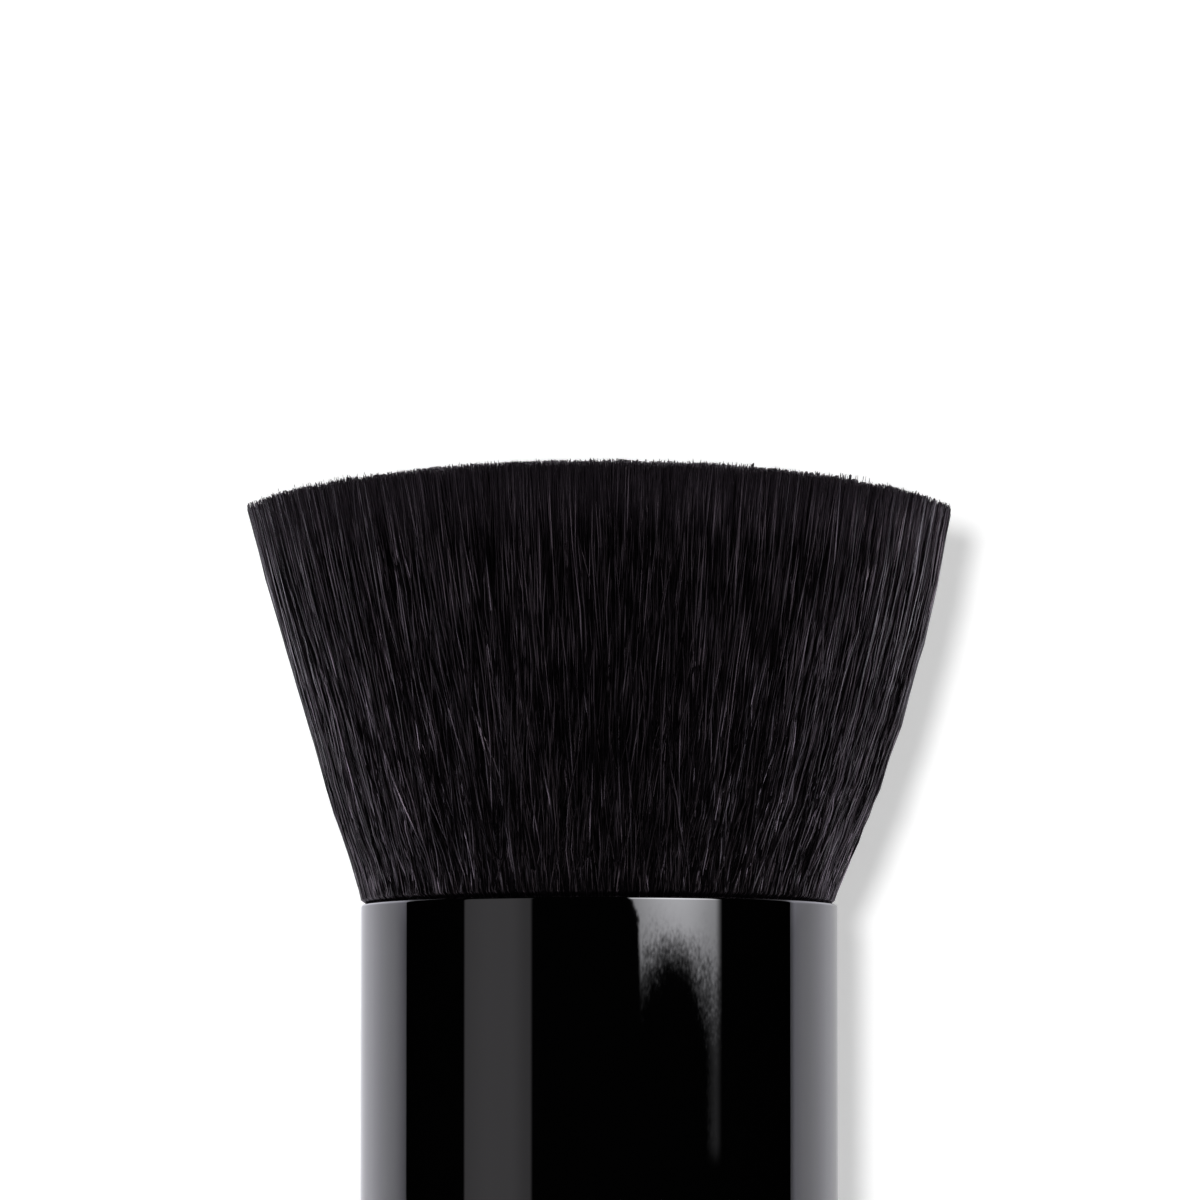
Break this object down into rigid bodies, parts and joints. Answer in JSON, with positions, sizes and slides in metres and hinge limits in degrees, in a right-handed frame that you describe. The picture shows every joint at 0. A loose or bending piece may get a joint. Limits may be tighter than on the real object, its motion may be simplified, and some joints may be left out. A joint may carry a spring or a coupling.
{
  "type": "kabuki makeup brush",
  "caption": "Short flat-topped makeup brush: a dense, flared head of fine black bristles in a glossy black tube handle that stands on its own base.",
  "frame": {"origin": "middle of the base, on the surface that the brush stands on", "axes": "+Z along the handle's axis, from the base to the bristle tips; the brush is round, so +X and +Y are free"},
  "size_m": [0.0473, 0.0472, 0.0773],
  "materials": {
    "handle_lacquer": "high-gloss black lacquer on drawn aluminium tube",
    "bristles": "fine black synthetic filaments with a soft sheen and finer, slightly paler tips",
    "thread": "undyed polyester binding thread",
    "resin": "clear amber epoxy, cured glossy",
    "cup_metal": "plain drawn aluminium with faint draw lines",
    "core_plastic": "injection-moulded ABS with a fine spark-eroded texture",
    "weight_steel": "turned mild steel, zinc plated",
    "pad_foam": "closed-cell foam rubber",
    "cap_plastic": "polished black ABS"
  },
  "bodies": {
    "root": {"handle_tube": "handle_lacquer", "bristle_bundle": "bristles", "binding_thread": "thread", "root_resin": "resin", "hair_cup": "cup_metal", "handle_core": "core_plastic", "weight": "weight_steel", "weight_pad": "pad_foam", "base_cap": "cap_plastic"}
  },
  "joints": []
}
